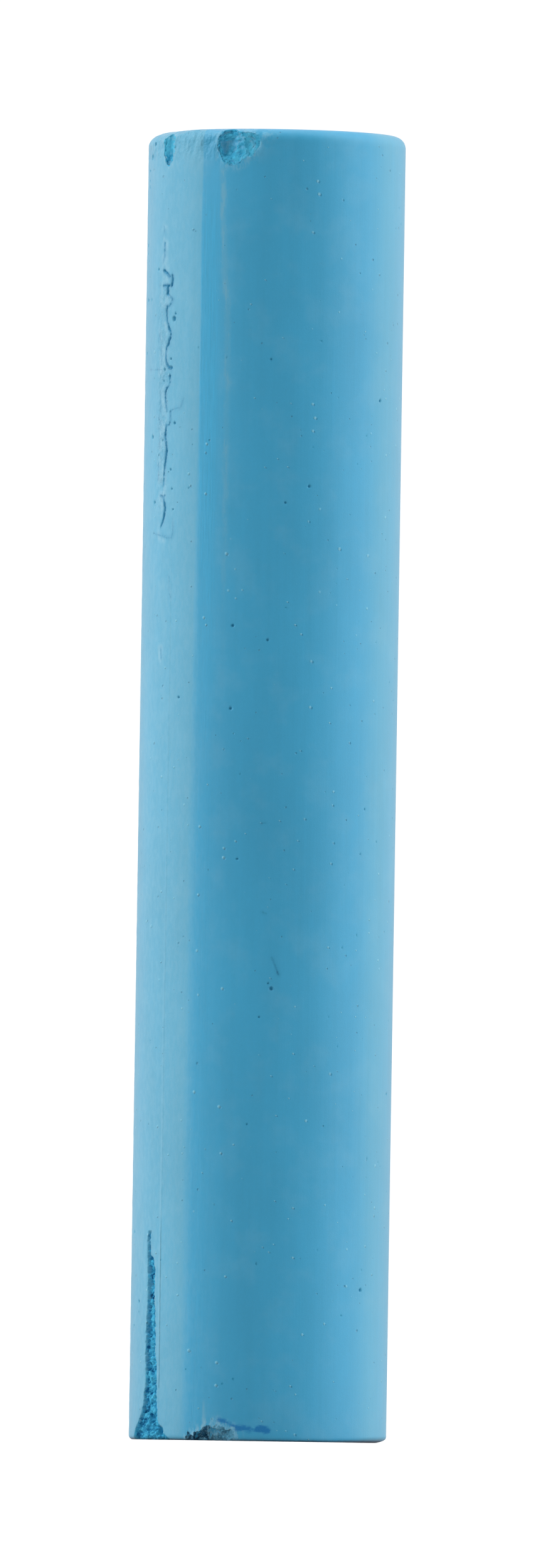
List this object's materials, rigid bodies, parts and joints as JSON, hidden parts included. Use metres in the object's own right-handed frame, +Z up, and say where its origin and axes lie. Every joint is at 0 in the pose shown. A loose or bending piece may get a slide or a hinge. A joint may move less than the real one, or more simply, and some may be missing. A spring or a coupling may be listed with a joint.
{
  "type": "stick of chalk",
  "caption": "Jumbo round stick of pale blue cast chalk for marking a hard surface by hand, with a cracked and crumbled mould seam and chipped rims.",
  "frame": {"origin": "centre of the flat foot face that the stick stands on", "axes": "+Z up along the stick's axis, from the foot to the crown; the weathered front with the chips and the seam's crack faces -Y; +X to the right seen from the front"},
  "size_m": [0.0202, 0.0202, 0.1016],
  "materials": {
    "chalk": "matt, slightly powdery cast chalk with a smooth mould skin and a rough, darker broken interior"
  },
  "bodies": {
    "root": {"chalk_stick": "chalk"}
  },
  "joints": []
}
